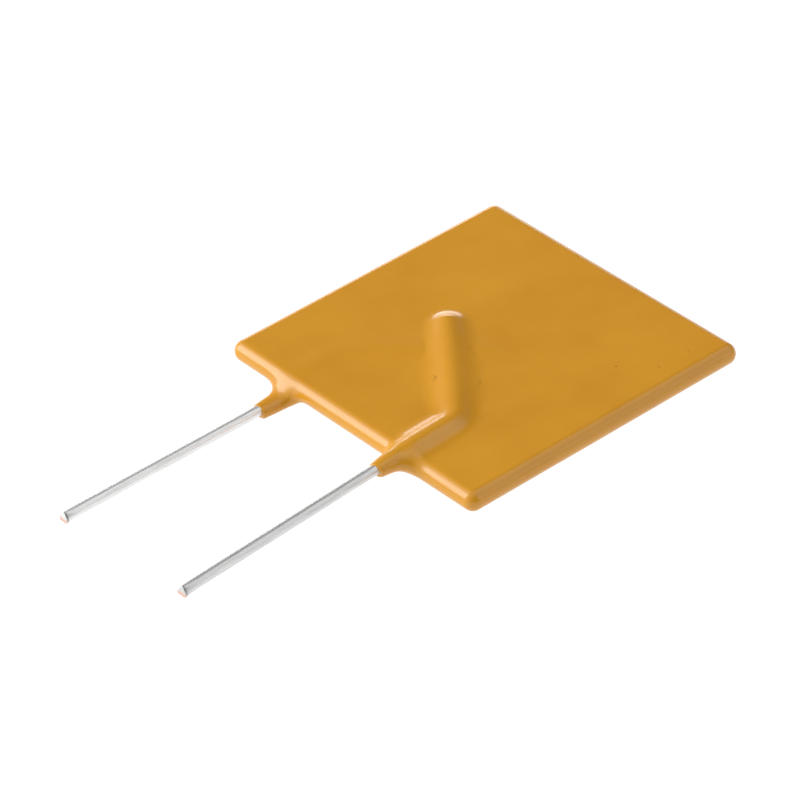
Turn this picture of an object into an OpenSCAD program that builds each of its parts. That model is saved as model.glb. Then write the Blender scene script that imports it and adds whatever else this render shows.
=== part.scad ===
// Radial-leaded resettable fuse. A conductive-polymer chip sits between two foils, a bent
// wire is soldered to each foil, and one dipped epoxy skin covers all but the wires' ends.
// It lies flat: X along the lead edge, Y from the lead tips into the body, Z up, in mm.

/* [Body] */
// Width of the coated body, along the lead edge
body_w = 21.3; // [18:0.1:26]
// Height of the coated body, from the lead edge to the far edge
body_h = 20.9; // [19:0.1:26]
// Thickness of the coated body away from its ridges
body_t = 1.4; // [1.2:0.05:1.6]
// Coating past the edges of the chip
edge_cover = 0.7; // [0.5:0.05:1.2]

/* [Chip] */
// Thickness of the conductive polymer
core_t = 0.42; // [0.35:0.01:0.55]
// Thickness of each foil electrode
foil_t = 0.035; // [0.02:0.005:0.06]

/* [Leads] */
// Diameter of the lead wire
lead_d = 0.64; // [0.5:0.01:0.8]
// Spacing of the two leads at the lead edge
lead_pitch = 10.2; // [8:0.1:11]
// Sideways offset of the pair of leads from the middle of the body
lead_shift = -0.5; // [-1:0.1:1]
// Reach of the front lead past the lead edge
front_reach = 16.8; // [8:0.1:25]
// Reach of the rear lead past the lead edge
rear_reach = 16.5; // [8:0.1:25]
// Outward splay of the front lead's free length, in degrees
front_splay = 3.3; // [0:0.1:5]
// Outward splay of the rear lead's free length, in degrees
rear_splay = 0; // [0:0.1:5]
// Outward turn of each lead where it leaves its collar, in degrees
lead_set = 1; // [0.6:0.1:3]
// Slant of the cut at a lead tip, in degrees from a square cut
tip_slant = 8; // [0:1:50]
// Distance from the lead edge in to the corner of the bend
bend_in = 4.3; // [3.5:0.1:6]
// Turn of the wire inside the body, in degrees
bend_turn = 49; // [30:1:70]
// Centreline radius of the bend
bend_r = 1.6; // [1.5:0.1:2.2]
// Length of the soldered leg past the corner of the bend
leg_len = 8.9; // [6:0.1:10]

/* [Solder] */
// Solder film between a wire and its foil
film_t = 0.04; // [0.03:0.01:0.08]
// Width of the solder fillet where it wets the foil
solder_w = 1.5; // [1.2:0.1:2]
// Solder past the cut end of the wire
solder_end = 0.35; // [0.2:0.05:0.6]

/* [Coating] */
// Coating over the crest of a wire
crest_cover = 0.25; // [0.18:0.01:0.35]
// Radius of the hollow where a ridge runs out onto the flat
foot_r = 1.5; // [1:0.1:1.8]
// Coating past the end of the solder, along the ridge
end_cover = 0.15; // [0.1:0.05:0.4]
// Length of the collar that the coating leaves on each lead
collar_len = 2.2; // [1.6:0.1:3]
// Coating on the wire where a collar ends
collar_lip = 0.12; // [0.1:0.01:0.16]
// Radius of the hollow where a collar runs out into the lead edge
collar_fillet = 0.9; // [0.6:0.05:1.2]

/* [Hidden] */
$fn = 64;

chip_w = body_w - 2 * edge_cover;
chip_h = body_h - 2 * edge_cover;
chip_t = core_t + 2 * foil_t;
edge_r = body_t / 2;
front_x = lead_shift + lead_pitch / 2;
rear_x = lead_shift - lead_pitch / 2;
bend_tan = bend_r * tan(bend_turn / 2);
// A bend is a hair fuller than the straight lengths, which lap into its ends.
bend_full = 0.005;
bend_lap = 0.05;
wire_z = chip_t / 2 + film_t + lead_d / 2;

// Ridge section: a crest round the wire and a hollow foot on each side. The foot dips a
// hair under the flat and nips the crest, so that the faces cross instead of just touching.
foot_dip = 0.02;
foot_nip = 0.004;
crest_r = lead_d / 2 + crest_cover;
crest_z = wire_z + crest_r;
foot_z = edge_r + foot_r - foot_dip;
foot_x = sqrt(pow(crest_r + foot_r - foot_nip, 2) - pow(foot_z - wire_z, 2));
saddle_z = wire_z + crest_r * (foot_z - wire_z) / (crest_r + foot_r);
ridge_end = leg_len + solder_end + end_cover;

// Collar: its neck lies a hair under the ridge, and its root is sunk in the body.
collar_seam = 0.02;
neck_r = crest_r - collar_seam;
lip_r = lead_d / 2 + collar_lip;
nose = collar_lip / 2;
flare_r = neck_r + 0.75 * collar_fillet;
root_y = 1.4 * edge_r;
roof_r = 1.4 * crest_r;
roof_z = crest_z - collar_seam / 2 - roof_r;

// Each lead takes its set on a short arc through the end of its collar.
set_y = collar_len - collar_lip;
set_r = 20 * lead_d;
set_arc = set_r * lead_set * PI / 180;

// The part stands on the crest of its lower ridge, centred on its box.
front_out = tip_out(front_reach, front_splay);
rear_out = tip_out(rear_reach, rear_splay);
stand = [0, max(front_out, rear_out) / 2, crest_z + bend_full];

epoxy_color = [0.81, 0.58, 0.19];
tin_color = [0.80, 0.81, 0.82];
solder_color = [0.62, 0.63, 0.65];
foil_color = [0.72, 0.66, 0.58];
core_color = [0.16, 0.16, 0.17];

epoxy_coating();
ptc_core();
top_foil();
bottom_foil();
front_lead();
rear_lead();
front_solder();
rear_solder();

module epoxy_coating() {
    color(epoxy_color) translate(stand) difference() {
        union() {
            slab();
            front_side() ridge_run(edge_r, ridge_end);
            rear_side() ridge_run(edge_r, ridge_end);
            front_side() collar();
            rear_side() collar();
        }
        cube([chip_w, chip_h, chip_t], center = true);
        front_side() solder_bead();
        rear_side() solder_bead();
        front_side() wire(front_reach, 1);
        rear_side() wire(rear_reach, -1);
    }
}

module ptc_core() {
    color(core_color) translate(stand) cube([chip_w, chip_h, core_t], center = true);
}

module top_foil() {
    color(foil_color) translate(stand) foil();
}

module bottom_foil() {
    color(foil_color) translate(stand) rotate([0, 180, 0]) foil();
}

module front_lead() {
    color(tin_color) translate(stand) front_side() wire(front_reach, 1);
}

module rear_lead() {
    color(tin_color) translate(stand) rear_side() wire(rear_reach, -1);
}

module front_solder() {
    color(solder_color) translate(stand) front_side() solder();
}

module rear_solder() {
    color(solder_color) translate(stand) rear_side() solder();
}

// Frame of one lead: its origin on the lead edge in the middle of the body's thickness,
// Y along the wire into the body. The rear one is the front one turned over about Y.
module front_side() {
    translate([front_x, -body_h / 2, 0]) rotate([0, 0, front_splay - lead_set]) children();
}

module rear_side() {
    rotate([0, 180, 0]) translate([-rear_x, -body_h / 2, 0])
        rotate([0, 0, rear_splay - lead_set]) children();
}

// Flat plate with full-round edges and ball corners, put together face to face.
module slab() {
    flat_w = body_w - 2 * edge_r;
    flat_h = body_h - 2 * edge_r;
    cube([flat_w, flat_h, body_t], center = true);
    for (turn = [0, 180]) rotate([0, 0, turn]) {
        translate([flat_w / 2, 0, 0]) rotate([90, 0, 0]) linear_extrude(flat_h, center = true) half_disc();
        translate([0, flat_h / 2, 0]) rotate([90, 0, 90]) linear_extrude(flat_w, center = true) half_disc();
        translate([flat_w / 2, flat_h / 2, 0]) rotate_extrude(angle = 90) half_disc();
        translate([-flat_w / 2, flat_h / 2, 0]) rotate([0, 0, 90]) rotate_extrude(angle = 90) half_disc();
    }
}

module half_disc() {
    intersection() {
        circle(edge_r);
        translate([0, -edge_r]) square([edge_r, body_t]);
    }
}

// A round wire, or the ridge over it, from y = from, round the bend and along the leg.
module wire_run(from, leg) {
    run_straight(from) wire_section(0);
    run_bend() wire_section(bend_full);
    run_leg(leg) wire_section(0);
}

module ridge_run(from, leg) {
    run_straight(from) ridge_section(0);
    run_bend() ridge_section(bend_full);
    run_leg(leg) ridge_section(0);
    on_leg(leg) rotate_extrude(angle = 180) right_half() ridge_section(0);
}

module run_straight(from) {
    end = bend_in - bend_tan + bend_lap;
    translate([0, end, 0]) rotate([90, 0, 0]) linear_extrude(end - from) children();
}

module run_bend() {
    translate([-bend_r, bend_in - bend_tan, 0]) rotate_extrude(angle = bend_turn)
        right_half() translate([bend_r, 0]) children();
}

module run_leg(leg) {
    on_leg(leg) rotate([90, 0, 0]) linear_extrude(leg - bend_tan + bend_lap) children();
}

// Frame on the leg at a distance along it from the corner of the bend, Y along the leg.
module on_leg(along) {
    translate([-bend_r, bend_in - bend_tan, 0]) rotate([0, 0, bend_turn])
        translate([bend_r, along - bend_tan, 0]) children();
}

module right_half() {
    reach = bend_r + foot_x + foot_r;
    intersection() {
        children();
        translate([0, -reach]) square([reach, 2 * reach]);
    }
}

module wire_section(fuller) {
    translate([0, wire_z]) circle(lead_d / 2 + fuller);
}

module ridge_section(fuller) {
    translate([0, wire_z]) circle(crest_r + fuller);
    difference() {
        translate([-foot_x, 0]) square([2 * foot_x, saddle_z]);
        for (side = [-1, 1]) translate([side * foot_x, foot_z]) circle(foot_r - fuller);
    }
}

module wire(reach, tip_face) {
    wire_run(-set_y - bend_lap, leg_len);
    translate([set_r, -set_y, 0]) {
        rotate([0, 0, 180]) rotate_extrude(angle = lead_set) translate([set_r, 0]) wire_section(bend_full);
        rotate([0, 0, lead_set]) translate([-set_r, 0, wire_z])
            free_length(reach - set_y - set_arc, tip_face);
    }
}

// Free end of a lead along -Y, with the slanted cut that side cutters leave. The cut faces
// up where tip_face is 1 and down where it is -1, in the frame of the lead.
module free_length(length, tip_face) {
    difference() {
        rotate([90, 0, 0]) translate([0, 0, -bend_lap]) cylinder(d = lead_d, h = length + lead_d);
        translate([0, -length, -tip_face * lead_d / 2]) rotate([-tip_face * tip_slant, 0, 0])
            translate([-lead_d, -4 * lead_d, -2 * lead_d]) cube([2 * lead_d, 4 * lead_d, 4 * lead_d]);
    }
}

// Trapezoid of solder from the foil up to the middle of the wire, over the whole leg.
module solder_bead() {
    on_leg(leg_len + solder_end) rotate([90, 0, 0])
        linear_extrude(leg_len + solder_end - 2 * bend_tan) polygon([
            [-solder_w / 2, chip_t / 2], [solder_w / 2, chip_t / 2],
            [lead_d / 2 + film_t, wire_z], [-lead_d / 2 - film_t, wire_z]
        ]);
}

module solder() {
    difference() {
        solder_bead();
        wire_run(0, leg_len);
    }
}

module foil() {
    translate([-chip_w / 2, -chip_h / 2, core_t / 2]) cube([chip_w, chip_h, foil_t]);
}

// A trumpet turned round the wire, from its lip to its root in the body, under a round roof
// that keeps the flare as low as the ridge.
module collar() {
    intersection() {
        translate([0, 0, wire_z]) rotate([-90, 0, 0]) rotate_extrude() collar_section();
        translate([0, root_y, roof_z]) rotate([90, 0, 0]) cylinder(r = roof_r, h = root_y + 2 * collar_len);
    }
}

// Half section, radius across and Y along: bevelled lip, tapered neck, hollow flare.
module collar_section() {
    polygon([
        [0, -collar_len], [lip_r - nose, -collar_len], [lip_r, nose - collar_len],
        [neck_r, -collar_fillet], [0, -collar_fillet]
    ]);
    difference() {
        translate([0, -collar_fillet]) square([flare_r, collar_fillet + root_y]);
        translate([neck_r + collar_fillet, -collar_fillet]) circle(collar_fillet);
    }
}

// How far a lead's tip lies from the lead edge, square to it.
function tip_out(reach, splay) = set_y * cos(splay - lead_set) + (reach - set_y) * cos(splay);
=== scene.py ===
import math
import bpy
import numpy as np
from mathutils import Matrix, Vector


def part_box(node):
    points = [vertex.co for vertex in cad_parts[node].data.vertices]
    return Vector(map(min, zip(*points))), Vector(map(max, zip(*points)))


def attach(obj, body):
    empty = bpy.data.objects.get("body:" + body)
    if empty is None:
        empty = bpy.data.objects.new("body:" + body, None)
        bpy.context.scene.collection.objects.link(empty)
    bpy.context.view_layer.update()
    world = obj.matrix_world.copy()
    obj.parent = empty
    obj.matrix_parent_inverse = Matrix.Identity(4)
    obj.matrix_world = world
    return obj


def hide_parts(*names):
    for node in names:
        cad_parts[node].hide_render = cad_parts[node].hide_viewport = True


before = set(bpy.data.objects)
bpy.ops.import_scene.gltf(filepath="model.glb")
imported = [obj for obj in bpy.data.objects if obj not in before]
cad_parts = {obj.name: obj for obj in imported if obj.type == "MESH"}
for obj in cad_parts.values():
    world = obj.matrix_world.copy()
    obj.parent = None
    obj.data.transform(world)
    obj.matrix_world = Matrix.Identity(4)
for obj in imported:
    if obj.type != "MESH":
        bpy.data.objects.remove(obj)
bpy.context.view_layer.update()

mm = 0.001
scene = bpy.context.scene
scene.view_settings.view_transform = "Standard"
print("frame loaded:", sorted(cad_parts))

# sizes repeat the CAD's, in mm, in a frame centred in the plate's thickness
plate = dict(wide=21.3, high=20.9, edge=0.7, fuller=0.1)
coatLow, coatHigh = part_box("epoxy_coating")
bodyMid = np.array([0.0, coatHigh.y / mm - plate["high"] / 2, (coatLow.z + coatHigh.z) / 2 / mm])

wire = dict(radius=0.32, height=0.605, bendIn=4.3, bendTurn=49.0, bendRadius=1.6, leg=8.9)
# neck and lip are a collar's half width and half height; its webs are left, right, above and below
front = dict(x=4.6, turn=2.3, flip=1.0, reach=16.8,  # on the top face
             collar=2.05, endLean=0.1, neck=(0.67, 0.6), lip=(0.5, 0.46),
             droop=(0.03, -0.07), webs=(1.05, 1.3, 0.75, 1.1))
rear = dict(x=5.6, turn=-1.0, flip=-1.0, reach=16.5,  # turned over about Y, on the underside
            collar=2.18, endLean=0.02, neck=(0.7, 0.475), lip=(0.53, 0.45),
            droop=(0.02, -0.1), webs=(1.1, 1.05, 1.05, 0.7))


def smooth(x, low, high):
    t = np.clip((x - low) / (high - low), 0.0, 1.0)
    return t * t * (3.0 - 2.0 * t)


def toLead(side, x, y, z):
    # body frame to a lead's own frame: origin on the lead edge, v along the wire
    a = math.radians(side["turn"])
    dx, dy = side["flip"] * x - side["x"], y + plate["high"] / 2
    return math.cos(a) * dx + math.sin(a) * dy, math.cos(a) * dy - math.sin(a) * dx, side["flip"] * z


def fromLead(side, u, v, w):
    a = math.radians(side["turn"])
    x = math.cos(a) * u - math.sin(a) * v + side["x"]
    y = math.sin(a) * u + math.cos(a) * v - plate["high"] / 2
    return side["flip"] * x, y, side["flip"] * w


skin = dict(round=0.441, crest=(0.34, 0.115), ridgeEnd=9.4, web=1.1,
            legMore=0.1, legWide=0.8, runWide=0.28, rootLean=0.4, rootTight=0.1, leanSoft=0.02,
            lipRound=0.1, lipFacing=2.33, lipWave=0.02, taperFrom=0.7, taperMost=1.3, taperPower=1.4,
            sag=0.012, waves=7, wavePitch=0.75, waveUp=1.5, seed=11)
# where one form of the coat passes into the next: collar and root count out from the lead edge, leg
# counts in from it, and the last two count along the leg, the second of them backwards
zones = dict(collar=(-1.2, 0.6), root=(-1.3, -0.4), leg=(2.6, 4.6),
             broadIn=(0.0, 2.6), broadOut=(-9.4, -7.0))


def wirePlan(u, v):
    # offset from the nearest point of the wire's line in plan: straight run, arc, then the soldered leg
    turn, r = math.radians(wire["bendTurn"]), wire["bendRadius"]
    v1 = wire["bendIn"] - r * math.tan(turn / 2)
    runU, runV = u, np.maximum(v - v1, 0.0)
    angle = np.clip(np.arctan2(v - v1, u + r), 0.0, turn)
    arcU, arcV = u + r - r * np.cos(angle), v - v1 - r * np.sin(angle)
    du, dv = u + r - r * math.cos(turn), v - v1 - r * math.sin(turn)
    legLength = skin["ridgeEnd"] - r * math.tan(turn / 2)
    along = np.clip(dv * math.cos(turn) - du * math.sin(turn), 0.0, legLength)
    legU, legV = du + along * math.sin(turn), dv - along * math.cos(turn)
    best = np.argmin([np.hypot(runU, runV), np.hypot(arcU, arcV), np.hypot(legU, legV)], axis=0)
    return np.choose(best, [runU, arcU, legU]), np.choose(best, [runV, arcV, legV])


def plateField(x, y, z):
    # distance to a flat rectangle less the edge radius: a plate with full-round edges and ball corners,
    # the dip a little fuller along the lead edge
    edge, fuller = plate["edge"], plate["fuller"]
    qx = np.maximum(np.abs(x) - plate["wide"] / 2 + edge, 0.0)
    qy = np.maximum(np.abs(y + fuller / 2) - (plate["high"] + fuller) / 2 + edge, 0.0)
    return np.sqrt(qx * qx + qy * qy + z * z) - edge


def sleeveField(side, x, y, z):
    # distance to the coat round one wire, and the width of the web that joins it to the plate: a round
    # ridge inside the plate, wide along the run and the leg and fuller on one side at its root, and
    # outside it an oval collar that hangs a little low, thins towards its lip and ends rounded
    u, v, w = toLead(side, x, y, z)
    du, dv = wirePlan(u, v)
    dw = w - wire["height"]
    around = np.arctan2(side["flip"] * dw, side["flip"] * du)
    lipLean = side["endLean"] * np.cos(around - skin["lipFacing"])
    end = -v - side["collar"] - lipLean + skin["lipWave"] * np.sin(3 * around + side["x"])
    swell = smooth(-v, *zones["collar"])  # 0 along the ridge, 1 on the collar
    root = smooth(-v, *zones["root"])
    leg = smooth(v, *zones["leg"])  # 0 on the run, 1 on the leg
    turn = math.radians(wire["bendTurn"])
    along = (v - wire["bendIn"]) * math.cos(turn) - u * math.sin(turn)
    broad = smooth(along, *zones["broadIn"]) * smooth(-along, *zones["broadOut"])
    lean = skin["rootLean"] * du / np.sqrt(du * du + dw * dw + skin["leanSoft"]) - skin["rootTight"]
    onRun = lean * root + skin["runWide"] * (1.0 - root)
    more = skin["legMore"] * leg + skin["legWide"] * broad + onRun * (1.0 - leg)
    ridge = skin["round"] - skin["crest"][0] * more - skin["crest"][1] * more * more  # one height all along
    du = du - swell * side["flip"] * side["droop"][0]
    dw = dw - swell * side["flip"] * side["droop"][1]
    taper = (-skin["taperFrom"] - v) / (side["collar"] - skin["taperFrom"])
    thin = np.clip(taper, 0.0, skin["taperMost"]) ** skin["taperPower"]
    wide, tall = (ridge + (neck - ridge) * swell - (neck - lip) * thin
                  for neck, lip in zip(side["neck"], side["lip"]))
    tube = np.sqrt((du * tall / wide) ** 2 + dv * dv + dw * dw) - tall
    r = skin["lipRound"]
    rounded = np.hypot(np.maximum(tube + r, 0.0), np.maximum(end + r, 0.0))
    tube = np.minimum(-r, np.maximum(tube, end)) + rounded
    left, right, above, below = side["webs"]
    off = np.sqrt(du * du + dw * dw + 1e-9)
    web = left + (right - left) * (1.0 + side["flip"] * du / off) / 2
    web = web + (np.where(side["flip"] * dw > 0.0, above, below) - web) * (dw / off) ** 2
    return tube, (skin["web"] + more) * (1.0 - swell) + web * swell


def skinField(x, y, z):
    # plate and sleeves joined by a hollow web: the smaller distance, less a square term where they are close
    flat = plateField(x, y, z)
    out = flat
    for side in (front, rear):
        tube, web = sleeveField(side, x, y, z)
        close = np.maximum(1.0 - np.abs(flat - tube) / web, 0.0)
        out = np.minimum(out, np.minimum(flat, tube) - web * close * close / 4.0)
    return out


def sagField(x, y, z):
    # shallow unevenness of the cured dip: a few long sines with fixed phases, never above the true size
    rng = np.random.default_rng(skin["seed"])
    count = skin["waves"]
    k = rng.normal(0.0, skin["wavePitch"], (count, 3))
    phase = rng.uniform(0.0, 2.0 * math.pi, count)
    waves = (np.sin(k[i, 0] * x + k[i, 1] * y + skin["waveUp"] * k[i, 2] * z + phase[i])
             for i in range(count))
    return skin["sag"] * (1.0 + sum(waves) / count) / 2.0


# the skin's grid: how its surface is searched for, the spacing of its columns, and its rows
grid = dict(probe=(-0.95, 0.95, 39), halvings=34, inside=9.6, outside=(-13.5, 11.0), above=1.6,
            samples=6001, flatStep=0.16, leadStep=0.06, leadReach=1.4,
            flankStep=0.03, flankAt=0.58, flankReach=0.16, trim=2e-4,
            edge=0.72, edgeRows=13, split=-8.2, shelfRows=32, flatRows=128)


def midLevel(x, y):
    # level of the deepest point on the vertical through (x, y), and the field there
    levels = np.linspace(*grid["probe"])[:, None, None]
    f = skinField(x[None], y[None], levels + 0.0 * x[None])
    best = np.argmin(f, axis=0)
    return levels[best, 0, 0], np.take_along_axis(f, best[None], 0)[0]


def leaving(isInside, start, stop):
    # where the skin ends, by halving between a start inside it and a stop outside
    near, far = start, stop
    for _ in range(grid["halvings"]):
        middle = (near + far) / 2
        within = isInside(middle)
        near, far = np.where(within, middle, near), np.where(within, far, middle)
    return near


def outline(x, start, stop):
    # y of the last vertical that still meets the skin
    def isInside(y):
        return midLevel(x[:, None], y[:, None])[1][:, 0] < 0.0

    return leaving(isInside, np.full_like(x, start), np.full_like(x, stop))


def surfaceLevel(x, y, start, stop):
    def isInside(z):
        return skinField(x, y, z) < 0.0

    return leaving(isInside, start, np.full_like(start, stop))


def outwardWay(points):
    # unit slope of the uneven field, by central differences
    step = 1e-3
    way = np.empty_like(points)
    for axis in range(3):
        ahead, behind = points.copy(), points.copy()
        ahead[:, axis] += step
        behind[:, axis] -= step
        way[:, axis] = sum(f(*ahead.T) - f(*behind.T) for f in (skinField, sagField))
    return way / np.linalg.norm(way, axis=1)[:, None]


def columnPlaces():
    # x of the columns: even on the flat, closer over the collars and their flanks, and even in angle
    # round the two sides
    flat = plate["wide"] / 2 - plate["edge"]
    dense = np.linspace(-flat, flat, grid["samples"])
    weight = np.full_like(dense, 1.0 / grid["flatStep"])
    for middle in (front["x"], -rear["x"]):
        away = np.abs(dense - middle)
        overLead = np.exp(-((away / grid["leadReach"]) ** 4))
        onFlank = np.exp(-(((away - grid["flankAt"]) / grid["flankReach"]) ** 2))
        weight += (1.0 / grid["leadStep"]) * overLead + (1.0 / grid["flankStep"]) * onFlank
    count = np.concatenate([[0.0], np.cumsum((weight[1:] + weight[:-1]) / 2 * np.diff(dense))])
    middleX = np.interp(np.linspace(0.0, count[-1], int(count[-1])), count, dense)
    angle = np.linspace(0.0, math.pi / 2, grid["edgeRows"])[1:]
    arc = flat + (plate["edge"] - grid["trim"]) * np.sin(angle)
    return np.concatenate([-arc[::-1], middleX, arc])


def buildSkin():
    # two sheets over one grid of columns and rows: z is where the vertical leaves the joined field, up and
    # down, and the sheets share the rim, where the two levels meet
    x = columnPlaces()
    low = outline(x, -grid["inside"], grid["outside"][0])
    high = outline(x, grid["inside"], grid["outside"][1])
    edge, split = grid["edge"], grid["split"]
    shares = 1.0 - np.cos(np.linspace(0.0, math.pi / 2, grid["edgeRows"]))[None, :]
    shelfShares = np.linspace(0, 1, grid["shelfRows"])[None, 1:]
    flatShares = np.linspace(0, 1, grid["flatRows"])[None, 1:]
    roundIn = low[:, None] + edge * shares
    shelf = (low + edge)[:, None] + (split - low - edge)[:, None] * shelfShares
    flat = split + (high - edge - split)[:, None] * flatShares
    roundOut = high[:, None] - edge * shares[:, ::-1][:, 1:]
    y = np.concatenate([roundIn, shelf, flat, roundOut], axis=1)
    x = np.repeat(x[:, None], y.shape[1], axis=1)
    middle, _ = midLevel(x, y)
    top = surfaceLevel(x, y, middle, grid["above"])
    bottom = surfaceLevel(x, y, middle, -grid["above"])
    rim = np.zeros(x.shape, bool)
    rim[[0, -1], :] = True
    rim[:, [0, -1]] = True
    top = np.where(rim, (top + bottom) / 2, top)
    upper = np.arange(x.size).reshape(x.shape)
    lower = np.where(rim, upper, 0)
    lower[~rim] = x.size + np.arange(np.count_nonzero(~rim))
    points = np.concatenate([np.stack([x, y, top], -1).reshape(-1, 3), np.stack([x, y, bottom], -1)[~rim]])

    def quads(index):
        return np.stack([index[:-1, :-1], index[1:, :-1], index[1:, 1:], index[:-1, 1:]], -1).reshape(-1, 4)

    way = outwardWay(points)
    points = points - way * sagField(*points.T)[:, None]
    return points, np.concatenate([quads(upper), quads(lower)[:, ::-1]]), None, way


def meshPiece(name, points, quads, attributes=None, normals=None):
    # points in mm in the body frame; a quad that repeats its last index is a triangle at a pole
    mesh = bpy.data.meshes.new(name)
    points = (points + bodyMid) * mm
    tri = quads[:, 2] == quads[:, 3]
    sizes = np.where(tri, 3, 4)
    used = np.ones(quads.shape, bool)
    used[tri, 3] = False
    loops = quads[used]
    mesh.vertices.add(len(points))
    mesh.vertices.foreach_set("co", points.astype(np.float32).reshape(-1))
    mesh.loops.add(len(loops))
    mesh.loops.foreach_set("vertex_index", loops.astype(np.int32))
    mesh.polygons.add(len(quads))
    mesh.polygons.foreach_set("loop_start", np.concatenate([[0], np.cumsum(sizes)[:-1]]).astype(np.int32))
    mesh.polygons.foreach_set("loop_total", sizes.astype(np.int32))
    mesh.update(calc_edges=True)
    mesh.validate()
    mesh.shade_smooth()
    if normals is not None:
        mesh.normals_split_custom_set_from_vertices(normals)
    for key, values in (attributes or {}).items():
        kind, field = ("FLOAT_VECTOR", "vector") if values.ndim == 2 else ("FLOAT", "value")
        layer = mesh.attributes.new(key, kind, "POINT")
        layer.data.foreach_set(field, values.astype(np.float32).reshape(-1))
    piece = bpy.data.objects.new(name, mesh)
    scene.collection.objects.link(piece)
    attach(piece, "root")
    print(name, len(points), "points,", int((sizes - 2).sum()), "triangles")
    return piece


coat = meshPiece("dipped_epoxy_skin", *buildSkin())
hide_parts("epoxy_coating")

lead = dict(around=40, step=0.22, stepsFrom=1.2, endGap=0.05, set=1.0, setRadius=12.8, setFrom=2.08)
# the sheared tip: low, high and copper are ranges of height on the wire, in radii from its middle
shear = dict(slant=8.0, squareBy=1.2, run=0.3, spread=1.24, boxy=0.4, flatten=0.1, tent=0.45,
             low=(-0.1, 0.7), high=(-0.2, 0.8), copper=(-0.05, 0.5), rimAt=0.06, rimWide=0.07,
             faceRings=(0.0, 0.3, 0.6, 0.82, 0.94),
             wireRings=(0.0, 0.015, 0.035, 0.07, 0.12, 0.18, 0.26, 0.36, 0.48, 0.62, 0.8, 1.0))


def leadLine(reach):
    # centreline in the lead's frame from the tip in: free length, set, straight run, bend, soldered leg
    turn, r = math.radians(wire["bendTurn"]), wire["bendRadius"]
    bendTan = r * math.tan(turn / 2)
    bow, bowR = math.radians(lead["set"]), lead["setRadius"]
    free = reach - lead["setFrom"] - bowR * bow
    v1 = wire["bendIn"] - bendTan
    ends = np.cumsum([free, bowR * bow, lead["setFrom"] + v1, r * turn, wire["leg"] - bendTan])
    even = np.arange(lead["stepsFrom"], ends[-1] - lead["endGap"], lead["step"])
    s = np.unique(np.concatenate([shear["wireRings"], even, [ends[-1]], ends[:4]]))
    heading = np.interp(s, np.concatenate([[0.0], ends]), [bow, bow, 0.0, 0.0, turn, turn])  # from +v to -u
    step = np.diff(s)
    mid = (heading[1:] + heading[:-1]) / 2
    u = np.concatenate([[0.0], np.cumsum(-np.sin(mid) * step)])
    v = np.concatenate([[0.0], np.cumsum(np.cos(mid) * step)])
    i0 = np.argmin(np.abs(s - ends[1]))
    return s, u - u[i0], v - v[i0] - lead["setFrom"], heading


def buildLead(side):
    # a round profile carried along the centreline; the first rings lean into the slanted cut, spread below
    # where the cutters closed and narrow above like a tent, and smaller rings on the cut face run in to
    # its middle
    s, u, v, heading = leadLine(side["reach"])
    r = wire["radius"]
    angle = np.linspace(0.0, 2 * math.pi, lead["around"], endpoint=False)
    lean = math.tan(math.radians(shear["slant"]))

    def ring(share, depth):
        c, h = np.cos(angle)[None, :], np.sin(angle)[None, :] * side["flip"]
        near = np.exp(-depth / shear["run"])[:, None]
        pinch = near * smooth(-h, *shear["low"])
        across = r * c * (1 - pinch) + r * pinch * shear["spread"] * np.sign(c) * np.abs(c) ** shear["boxy"]
        across = across * (1 - shear["tent"] * near * smooth(h, *shear["high"]))
        level = r * h * (1 - shear["flatten"] * pinch)
        return share[:, None] * across, share[:, None] * level

    shares = np.array(shear["faceRings"])
    faceA, faceH = ring(shares, np.zeros(len(shares)))
    faceCut = (r + faceH) * lean
    bodyA, bodyH = ring(np.ones_like(s), s)
    bodyCut = s[:, None] + (r + bodyH) * lean * np.clip(1 - s[:, None] / shear["squareBy"], 0, 1)
    across = np.concatenate([faceA, bodyA])
    level = np.concatenate([faceH, bodyH]) * side["flip"]
    cut = np.concatenate([faceCut, bodyCut])
    atU, atV = np.interp(cut, s, u), np.interp(cut, s, v)
    turn = np.interp(cut, s, heading)
    pu, pv = atU + across * np.cos(turn), atV + across * np.sin(turn)
    pw = level + wire["height"]
    n, m = cut.shape
    endMiddle = [[atU[-1].mean(), atV[-1].mean(), wire["height"]]]
    points = np.concatenate([np.stack([pu, pv, pw], -1).reshape(-1, 3), endMiddle])
    body = np.stack(fromLead(side, *points.T), -1)
    index = np.arange(n * m).reshape(n, m)
    nxt = np.roll(index, -1, axis=1)
    quads = np.stack([index[1:-1], nxt[1:-1], nxt[2:], index[2:]], -1).reshape(-1, 4)
    tip = np.stack([np.zeros(m, int), nxt[1], index[1], index[1]], -1)
    end = np.stack([np.full(m, n * m), index[-1], nxt[-1], nxt[-1]], -1)
    faces = np.concatenate([tip, quads, end])
    keep = np.ones(n * m + 1, bool)
    keep[1:m] = False  # the face's middle ring is one point
    number = np.cumsum(keep) - 1
    drawn = np.stack([np.repeat(np.cos(angle)[None], n, 0), np.repeat(np.sin(angle)[None], n, 0), cut], -1)
    drawn = np.concatenate([drawn.reshape(-1, 3), [[0.0, 0.0, s[-1]]]])
    cutRings = len(shares) + 1  # the face and its rim
    bare = np.zeros((n, m))
    bare[:cutRings] = smooth(-level[:cutRings] * side["flip"] / r, *shear["copper"])
    bare = np.concatenate([bare.reshape(-1), [0.0]])
    # a band round the wire just behind the cut, where a painted shade darkens the tin
    cutShade = np.exp(-((s - shear["rimAt"]) / shear["rimWide"]) ** 2)
    rim = np.repeat(np.concatenate([np.zeros(len(shares)), cutShade])[:, None], m, 1)
    rim = np.concatenate([rim.reshape(-1), [0.0]])
    return body[keep], number[faces], dict(drawn=drawn[keep], bare=bare[keep], rim=rim[keep])


wires = {}
for sideName, side in (("front", front), ("rear", rear)):
    wires[sideName] = meshPiece(f"{sideName}_tinned_wire", *buildLead(side))
    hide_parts(f"{sideName}_lead")


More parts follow.
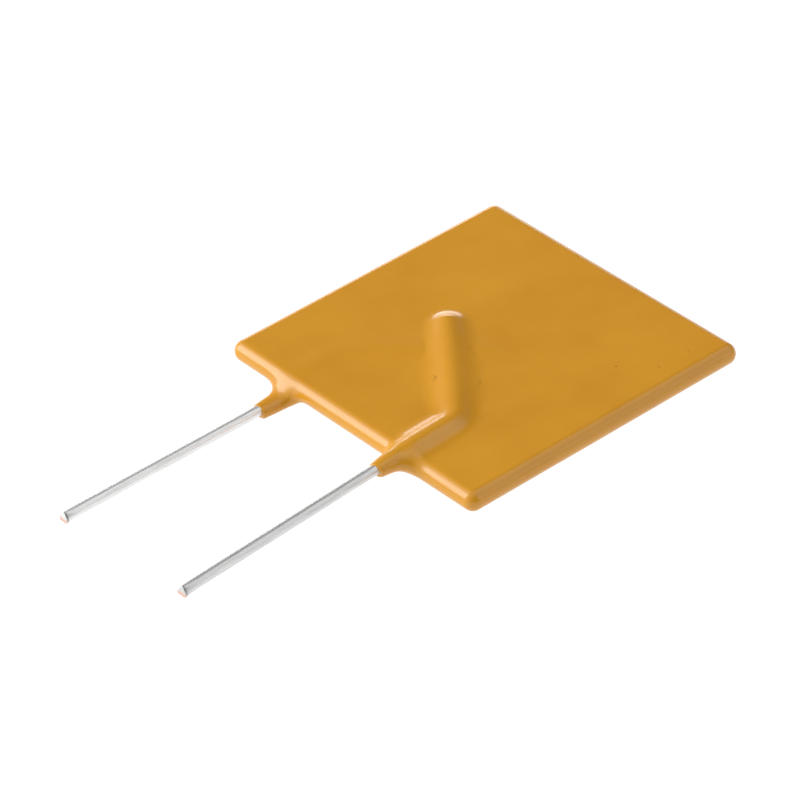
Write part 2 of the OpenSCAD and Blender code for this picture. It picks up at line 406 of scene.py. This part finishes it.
def adder(tree):
    # a function that makes one node: settings by name, and inputs that are values or come from sockets
    def add(kind, inputs=None, **settings):
        node = tree.nodes.new(kind)
        for key, value in settings.items():
            setattr(node, key, value)
        for key, value in (inputs or {}).items():
            if isinstance(value, bpy.types.NodeSocket):
                tree.links.new(value, node.inputs[key])
            else:
                node.inputs[key].default_value = value
        return node

    return add


def newMaterial(name):
    material = bpy.data.materials.new(name)
    material.use_nodes = True
    tree = material.node_tree
    return material, tree.nodes["Principled BSDF"], adder(tree), tree.links.new


def inMm(add):
    where = add("ShaderNodeTexCoord").outputs["Object"]
    return add("ShaderNodeMapping", {"Vector": where, "Scale": (1e3, 1e3, 1e3)}).outputs["Vector"]


def noise(add, where, scale, detail, roughness):
    inputs = {"Vector": where, "Scale": scale, "Detail": detail, "Roughness": roughness}
    return add("ShaderNodeTexNoise", inputs).outputs["Fac"]


def reckon(add, operation, *values, **settings):
    return add("ShaderNodeMath", dict(enumerate(values)), operation=operation, **settings).outputs["Value"]


def remap(add, source, span, result, kind="LINEAR"):
    inputs = {"Value": source, "From Min": span[0], "From Max": span[1],
              "To Min": result[0], "To Max": result[1]}
    return add("ShaderNodeMapRange", inputs, interpolation_type=kind).outputs["Result"]


def ramp(add, source, places, colours):
    node = add("ShaderNodeValToRGB", {"Fac": source})
    points = node.color_ramp.elements
    while len(points) < len(places):
        points.new(0.5)
    for point, place, colour in zip(points, places, colours):
        point.position = place
        point.color = (*colour, 1.0)
    return node.outputs["Color"]


def mixed(add, share, under, over):
    return add("ShaderNodeMixRGB", {"Fac": share, "Color1": under, "Color2": (*over, 1.0)}).outputs["Color"]


def bumped(add, height, strength, tall, under=None):
    # a bump as tall as given in mm, laid over another bump if there is one
    inputs = {"Height": height, "Strength": strength, "Distance": tall * mm}
    if under is not None:
        inputs["Normal"] = under
    return add("ShaderNodeBump", inputs).outputs["Normal"]


# noises are scale, detail and roughness; blisters are middle, radius and the strength of the painted shade
# on their lee side
epoxy = dict(deep=(0.64, 0.276, 0.008), gold=(0.67, 0.296, 0.010), pale=(0.70, 0.314, 0.013),
             toneAt=(0.3, 0.5, 0.72), cloud=(0.22, 3.0, 0.55), mottle=(2.4, 4.0, 0.6), peel=(1.6, 3.0, 0.5),
             mottleSpan=(0.3, 0.7), roughness=(0.17, 0.25), ior=1.52, specular=0.55,
             peelStrength=0.12, peelHeight=0.02,
             speckScale=0.55, speckEdge=(0.035, 0.06), speckShare=0.9, speckPit=-0.5,
             speckAndShadeTint=(0.28, 0.115, 0.008),
             # the blisters' crescents are painted shade, on the side turned away from the key light
             blisterHeight=0.006, blisterFlat=0.6, crescent=0.35, paintedShadeSide=(0.8, 0.6, 0.0),
             blisters=[((0.68, 3.76, 1.998), 0.3, 0.55), ((2.69, 5.4, 1.937), 0.3, 0.32)])


def makeEpoxy():
    material, shader, add, link = newMaterial("golden_epoxy")
    where = inMm(add)
    cloud, mottle, peel = (noise(add, where, *epoxy[key]) for key in ("cloud", "mottle", "peel"))
    tone = ramp(add, cloud, epoxy["toneAt"], [epoxy[key] for key in ("deep", "gold", "pale")])
    fleck = add("ShaderNodeTexVoronoi", {"Vector": where, "Scale": epoxy["speckScale"], "Randomness": 1.0})
    near = remap(add, fleck.outputs["Distance"], epoxy["speckEdge"], (1.0, 0.0))
    pick = add("ShaderNodeSeparateColor", {"Color": fleck.outputs["Color"]}).outputs["Red"]
    some = reckon(add, "GREATER_THAN", pick, epoxy["speckShare"])
    speck = reckon(add, "MULTIPLY", near, some)
    lift, specksAndShade = 0.0, speck
    for middle, radius, dark in epoxy["blisters"]:  # a low dome, with painted shade in a crescent along its lee side
        discs = []
        for share in (0.0, epoxy["crescent"]):
            spot = Vector(middle) - share * radius * Vector(epoxy["paintedShadeSide"])
            away = add("ShaderNodeVectorMath", {0: where, 1: spot}, operation="DISTANCE").outputs["Value"]
            span = (epoxy["blisterFlat"] * radius, radius)
            discs.append(remap(add, away, span, (1.0, 0.0), "SMOOTHSTEP"))
        lift = reckon(add, "ADD", discs[0], lift)
        rim = reckon(add, "SUBTRACT", discs[0], discs[1], use_clamp=True)
        specksAndShade = reckon(add, "MULTIPLY_ADD", rim, dark, specksAndShade)
    # the tint darkens the real specks and paints the shade in the blisters' crescents
    link(mixed(add, specksAndShade, tone, epoxy["speckAndShadeTint"]), shader.inputs["Base Color"])
    link(remap(add, mottle, epoxy["mottleSpan"], epoxy["roughness"]), shader.inputs["Roughness"])
    pit = reckon(add, "MULTIPLY_ADD", speck, epoxy["speckPit"], peel)
    blister = bumped(add, lift, 1.0, epoxy["blisterHeight"])
    link(bumped(add, pit, epoxy["peelStrength"], epoxy["peelHeight"], blister), shader.inputs["Normal"])
    shader.inputs["IOR"].default_value = epoxy["ior"]
    shader.inputs["Specular IOR Level"].default_value = epoxy["specular"]
    return material


# shade scales each wire's copy of the tin: painted shade, darker on the front wire
tin = dict(dull=(0.69, 0.69, 0.69), bright=(0.9, 0.9, 0.895), toneAt=(0.32, 0.62),
           shade=dict(front=0.845, rear=1.0), copper=(0.8, 0.54, 0.44), cutShadeTone=(0.36, 0.35, 0.35),
           stretch=(5.0, 5.0, 0.35), streak=(2.2, 5.0, 0.6), streakSpan=(0.3, 0.7), roughness=(0.52, 0.38),
           streakStrength=0.05, streakHeight=0.01)


def makeTin(sideName):
    material, shader, add, link = newMaterial(f"{sideName}_drawn_tin")
    # painted shade: this wire's colours are scaled by its shade
    dull, bright = (tuple(tin["shade"][sideName] * c for c in tin[key]) for key in ("dull", "bright"))
    drawn = add("ShaderNodeAttribute", attribute_name="drawn").outputs["Vector"]
    place = add("ShaderNodeMapping", {"Vector": drawn, "Scale": tin["stretch"]}).outputs["Vector"]
    streak = noise(add, place, *tin["streak"])
    tone = ramp(add, streak, tin["toneAt"], [dull, bright])
    bare = add("ShaderNodeAttribute", attribute_name="bare").outputs["Fac"]
    rim = add("ShaderNodeAttribute", attribute_name="rim").outputs["Fac"]
    # painted shade: the rim attribute darkens the tin in a band just behind the cut
    cutShade = mixed(add, rim, tone, tin["cutShadeTone"])
    link(mixed(add, bare, cutShade, tin["copper"]), shader.inputs["Base Color"])
    link(remap(add, streak, tin["streakSpan"], tin["roughness"]), shader.inputs["Roughness"])
    link(bumped(add, streak, tin["streakStrength"], tin["streakHeight"]), shader.inputs["Normal"])
    shader.inputs["Metallic"].default_value = 1.0
    return material


grain = dict(detail=4.0, roughness=0.5, toneAt=(0.35, 0.65), strength=0.4, height=0.01)
inner = dict(
    carbon_polymer=dict(dark=(0.012, 0.012, 0.013), light=(0.04, 0.04, 0.042),
                        scale=3.0, roughness=0.6, metal=0.0),
    nodular_foil=dict(dark=(0.42, 0.38, 0.33), light=(0.62, 0.57, 0.5),
                      scale=9.0, roughness=0.42, metal=1.0),
    joint_solder=dict(dark=(0.46, 0.47, 0.48), light=(0.64, 0.65, 0.66),
                      scale=4.0, roughness=0.33, metal=1.0))


def makeInner(name):
    # a mottled finish: noise sets the tone between two colours and a fine bump
    look = inner[name]
    material, shader, add, link = newMaterial(name)
    mottle = noise(add, inMm(add), look["scale"], grain["detail"], grain["roughness"])
    link(ramp(add, mottle, grain["toneAt"], [look["dark"], look["light"]]), shader.inputs["Base Color"])
    link(bumped(add, mottle, grain["strength"], grain["height"]), shader.inputs["Normal"])
    shader.inputs["Roughness"].default_value = look["roughness"]
    shader.inputs["Metallic"].default_value = look["metal"]
    return material


def dress(piece, material):
    piece.data.materials.clear()
    piece.data.materials.append(material)


dress(coat, makeEpoxy())
for sideName, piece in wires.items():
    dress(piece, makeTin(sideName))
coreFinish, foilFinish, solderFinish = [makeInner(name) for name in inner]
for nodeName, material in (("ptc_core", coreFinish), ("top_foil", foilFinish), ("bottom_foil", foilFinish),
                           ("front_solder", solderFinish), ("rear_solder", solderFinish)):
    dress(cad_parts[nodeName], material)
print("materials set")

# focal length in pixels of the photo's width
view = dict(focal=4644.445, pixels=800.0, sensor=36.0, clipStart=0.01,
            azimuth=50.867, elevation=36.473, roll=-3.365, distance=267.651, aim=(0.07, -6.633, 0.0))


def makeCamera():
    az, el, roll = (math.radians(view[k]) for k in ("azimuth", "elevation", "roll"))
    back = Vector((math.sin(az) * math.cos(el), -math.cos(az) * math.cos(el), math.sin(el)))
    right = Vector((math.cos(az), math.sin(az), 0.0))
    up = back.cross(right)
    side = right * math.cos(roll) + up * math.sin(roll)
    tall = up * math.cos(roll) - right * math.sin(roll)
    data = bpy.data.cameras.new("camera")
    data.sensor_width = view["sensor"]
    data.lens = view["focal"] * view["sensor"] / view["pixels"]
    data.clip_start = view["clipStart"]
    camera = bpy.data.objects.new("camera", data)
    spot = (Vector(view["aim"]) + back * view["distance"] + Vector(bodyMid)) * mm
    turn = Matrix((side, tall, back)).transposed().to_4x4()
    camera.matrix_world = Matrix.Translation(spot) @ turn
    scene.collection.objects.link(camera)
    scene.camera = camera


makeCamera()

# cards are soft round patches of the surround, full and wide in degrees; a flag takes light away
studio = dict(
    key=dict(toward=(-0.69, -0.585, 0.43), away=0.3, size=(0.18, 0.21), power=0.42),
    floor=dict(half=1.2, tone=0.1, roughness=0.9, glow=1.0),
    base=0.66, side=-0.17, ahead=0.24,
    cards=dict(
        lowStripLeft=dict(toward=(-0.85, 0.525, 0.03), wide=11.5, full=5.0, gain=1.7),
        lowStripRight=dict(toward=(-0.74, 0.67, 0.04), wide=14.0, full=7.0, gain=3.3),
        boardAbove=dict(toward=(0.2, 0.52, 0.83), wide=28.0, full=12.0, gain=0.75),
        boardRight=dict(toward=(0.76, 0.52, 0.38), wide=25.0, full=10.0, gain=0.85),
        flagAcross=dict(toward=(-0.6, 0.54, 0.59), wide=42.0, full=18.0, gain=-0.42),
        fillUnderKey=dict(toward=(-0.62, -0.76, 0.14), wide=30.0, full=10.0, gain=0.9),
        softAboveKey=dict(toward=(-0.6, -0.45, 0.66), wide=31.0, full=12.0, gain=0.95),
        flagByCamera=dict(toward=(0.85, -0.5, 0.25), wide=60.0, full=25.0, gain=-0.42)))


def makeKey():
    key = studio["key"]
    lamp = bpy.data.lights.new("key", "AREA")
    lamp.shape = "RECTANGLE"
    lamp.size, lamp.size_y = key["size"]
    lamp.energy = key["power"]
    light = bpy.data.objects.new("key", lamp)
    toward = Vector(key["toward"]).normalized()
    light.location = Vector(bodyMid) * mm + toward * key["away"]
    light.rotation_euler = toward.to_track_quat("Z", "Y").to_euler()
    scene.collection.objects.link(light)


def makeWorld():
    # even white surround that tilts brighter to one side, plus the cards by their direction
    world = bpy.data.worlds.new("studio")
    scene.world = world
    world.use_nodes = True
    tree = world.node_tree
    add = adder(tree)
    way = add("ShaderNodeTexCoord").outputs["Generated"]

    def facing(toward):
        return add("ShaderNodeVectorMath", {0: way, 1: toward}, operation="DOT_PRODUCT").outputs["Value"]

    total = reckon(add, "ADD", facing((studio["side"], -studio["ahead"], 0.0)), studio["base"])
    for card in studio["cards"].values():
        span = [math.cos(math.radians(card[key])) for key in ("wide", "full")]
        share = facing(Vector(card["toward"]).normalized())
        glow = remap(add, share, span, (0.0, card["gain"]), "SMOOTHSTEP")
        total = reckon(add, "ADD", glow, total)
    background = tree.nodes["Background"]
    background.inputs["Color"].default_value = (1.0, 1.0, 1.0, 1.0)
    tree.links.new(total, background.inputs["Strength"])


def makeFloor():
    look = studio["floor"]
    half, tone = look["half"], look["tone"]
    mesh = bpy.data.meshes.new("floor")
    corners = [(-half, -half, 0), (half, -half, 0), (half, half, 0), (-half, half, 0)]
    mesh.from_pydata(corners, [], [(0, 1, 2, 3)])
    floor = bpy.data.objects.new("floor", mesh)
    scene.collection.objects.link(floor)
    material, shader, _, _ = newMaterial("pale_floor")
    shader.inputs["Base Color"].default_value = (tone, tone, tone, 1.0)
    shader.inputs["Roughness"].default_value = look["roughness"]
    shader.inputs["Specular IOR Level"].default_value = 0.0
    shader.inputs["Emission Color"].default_value = (1.0, 1.0, 1.0, 1.0)
    shader.inputs["Emission Strength"].default_value = look["glow"]
    dress(floor, material)


makeKey()
makeWorld()
makeFloor()
print("camera and studio set")
